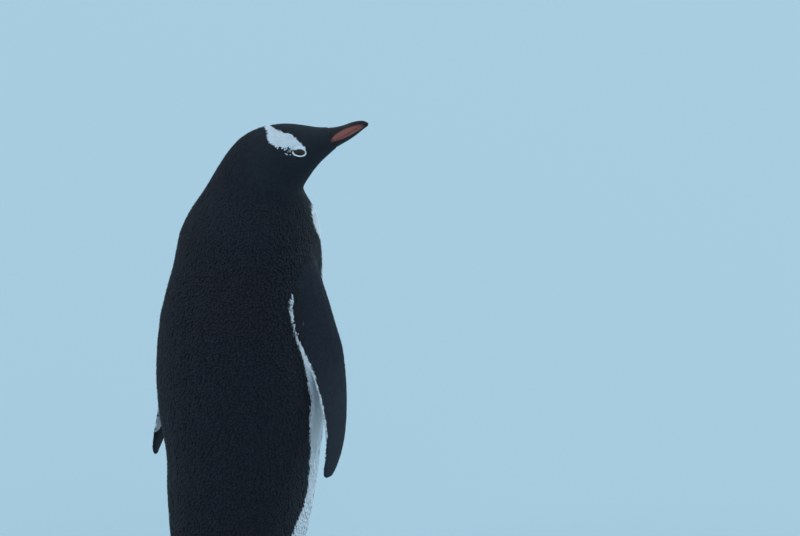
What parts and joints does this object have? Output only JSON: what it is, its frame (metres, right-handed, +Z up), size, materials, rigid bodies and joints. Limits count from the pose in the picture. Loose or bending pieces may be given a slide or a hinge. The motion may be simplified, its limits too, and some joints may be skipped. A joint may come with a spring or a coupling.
{
  "type": "gentoo penguin",
  "caption": "Life-size still model of a gentoo penguin standing at rest, neck drawn in, head turned to its right, flippers hanging, tail resting on the floor.",
  "frame": {"origin": "on the floor, under the middle of the bird's outline", "axes": "+Z is up, the trunk faces -Y, the bird's left side is +X; the head is turned about 60 degrees towards -X"},
  "size_m": [0.2472, 0.283, 0.5971],
  "materials": {
    "back_feathers": "short overlapping slate-black feathers",
    "head_feathers": "very short dense black feathers",
    "flipper_feathers": "scale-like slate feathers",
    "leg_feathers": "short white feathers",
    "tail_feathers": "long stiff dark feathers",
    "bill_black": "smooth dark horn",
    "bill_orange": "smooth orange-red horn",
    "eye_brown": "wet dark brown eye",
    "foot_skin": "scaly orange-pink skin",
    "claw_horn": "dark horn"
  },
  "bodies": {
    "root": {"trunk": "back_feathers", "neck": "head_feathers", "head": "head_feathers", "bill_upper": "bill_black", "bill_lower": "bill_orange", "eye_left": "eye_brown", "eye_right": "eye_brown", "flipper_left": "flipper_feathers", "flipper_right": "flipper_feathers", "tail": "tail_feathers", "leg_left": "leg_feathers", "leg_right": "leg_feathers", "foot_left": "foot_skin", "foot_right": "foot_skin", "claw_left_inner": "claw_horn", "claw_left_middle": "claw_horn", "claw_left_outer": "claw_horn", "claw_left_hind": "claw_horn", "claw_right_inner": "claw_horn", "claw_right_middle": "claw_horn", "claw_right_outer": "claw_horn", "claw_right_hind": "claw_horn"}
  },
  "joints": []
}
